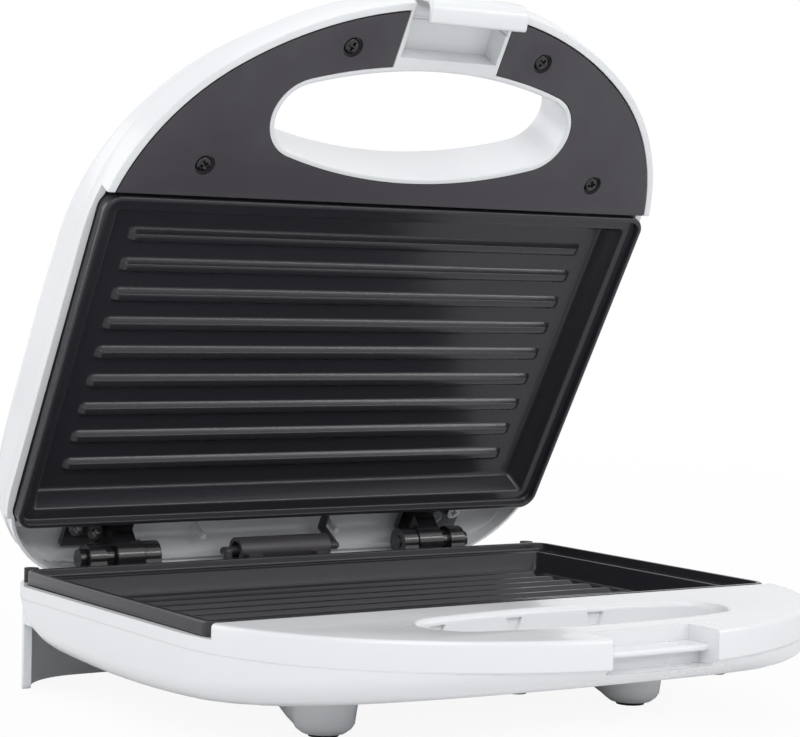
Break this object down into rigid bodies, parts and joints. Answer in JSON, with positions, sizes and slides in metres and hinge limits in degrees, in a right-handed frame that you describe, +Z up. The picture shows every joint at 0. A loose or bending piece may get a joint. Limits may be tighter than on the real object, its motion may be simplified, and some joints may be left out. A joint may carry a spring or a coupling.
{
  "type": "sandwich toaster",
  "caption": "Hinged sandwich toaster: two ribbed cooking plates in white moulded shells with open loop handles and a front latch.",
  "frame": {"origin": "centre of the bounding box at the table, lid open by 60 degrees", "axes": "+Z up, +Y towards the hinge, -Y towards the handles, +X along the hinge axis, to the right seen from the handle side"},
  "size_m": [0.236, 0.2488, 0.2462],
  "materials": {
    "white_moulding": "gloss",
    "black_moulding": "satin",
    "black_screws": "black oxide",
    "zinc_steel": "zinc plated",
    "coated_plates": "dark non-stick coating on cast aluminium",
    "heater_tube": "dark oxidised",
    "heater_insulators": "glazed ceramic, stood in for by plastic",
    "reflectors": "bright rolled",
    "hinge_brackets": "black coated",
    "rubber_parts": "matt",
    "terminal_moulding": "matt",
    "thermostat_body": "matt",
    "fuse_sleeve": "woven glass sleeve",
    "wire_cover": "silicone",
    "red_lens": "clear coloured plastic",
    "green_lens": "clear coloured plastic"
  },
  "bodies": {
    "base": {"base_shell": "white_moulding", "base_handle_cover": "white_moulding", "base_cover_screws": "black_screws", "wiring_cover": "white_moulding", "wiring_cover_screws": "zinc_steel", "rubber_feet": "rubber_parts", "rear_stops": "rubber_parts", "cord_gland": "black_moulding", "terminal_block": "terminal_moulding", "lower_plate": "coated_plates", "lower_plate_screws": "zinc_steel", "lower_heater": "heater_tube", "lower_heater_ends": "heater_insulators", "lower_straps": "zinc_steel", "lower_strap_screws": "zinc_steel", "lower_reflector": "reflectors", "thermal_fuse": "fuse_sleeve", "hinge_base_brackets": "hinge_brackets", "hinge_base_screws": "zinc_steel", "hinge_pins": "zinc_steel", "wire_sleeve": "black_moulding", "base_wires": "wire_cover"},
    "lid": {"lid_shell": "white_moulding", "lid_handle_cover": "black_moulding", "cover_screws": "black_screws", "upper_plate": "coated_plates", "upper_plate_screws": "zinc_steel", "upper_heater": "heater_tube", "upper_heater_ends": "heater_insulators", "upper_straps": "zinc_steel", "upper_strap_screws": "zinc_steel", "upper_reflector": "reflectors", "thermostat": "thermostat_body", "hinge_lid_brackets": "hinge_brackets", "hinge_lid_screws": "zinc_steel", "power_lens": "red_lens", "ready_lens": "green_lens", "lamp_holder": "terminal_moulding", "lid_wires": "wire_cover", "latch_pin": "zinc_steel"},
    "latch": {"latch": "white_moulding"}
  },
  "joints": [
    {"name": "lid_hinge", "type": "hinge", "parent": "base", "child": "lid", "pos_m": [0, 0.1049, 0.0429], "axis": [-1, 0, 0], "range_deg": [-60, 35]},
    {"name": "latch_pivot", "type": "hinge", "parent": "lid", "child": "latch", "pos_m": [0, -0.00353, 0.24011], "axis": [-1, 0, 0], "range_deg": [-16, 6]}
  ]
}
